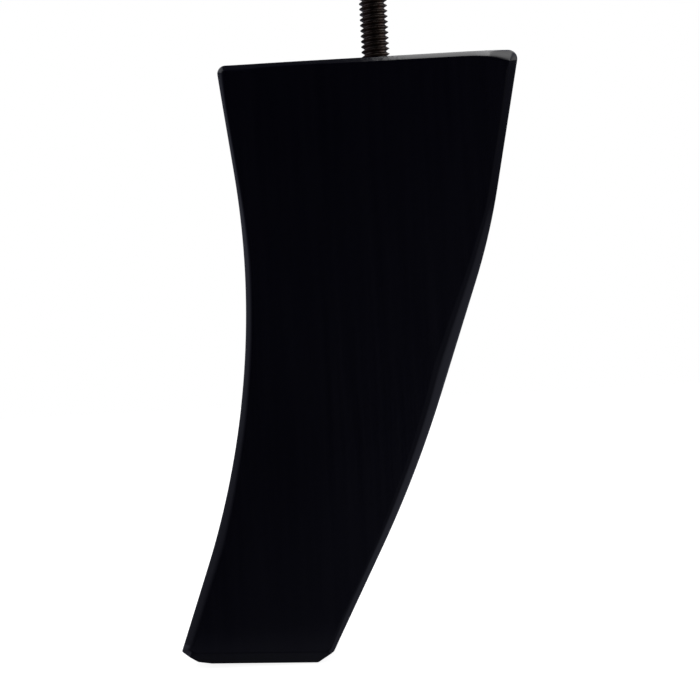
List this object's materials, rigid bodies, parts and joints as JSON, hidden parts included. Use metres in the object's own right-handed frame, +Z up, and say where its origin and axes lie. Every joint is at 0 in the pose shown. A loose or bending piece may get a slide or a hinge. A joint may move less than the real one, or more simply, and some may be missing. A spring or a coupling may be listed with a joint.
{
  "type": "wooden furniture leg",
  "caption": "Black lacquered wooden sabre leg for furniture, hollow on one side and convex on the other, with a threaded hanger bolt standing out of its top.",
  "frame": {"origin": "where the hanger bolt's axis meets the leg's top face", "axes": "+Z up along the bolt, +X towards the leg's convex side, -Y out of its front face"},
  "size_m": [0.0932, 0.0446, 0.1752],
  "materials": {
    "lacquered_wood": "black lacquer",
    "dark_steel": "dark oxide"
  },
  "bodies": {
    "root": {"leg": "lacquered_wood", "hanger_bolt": "dark_steel"}
  },
  "joints": []
}
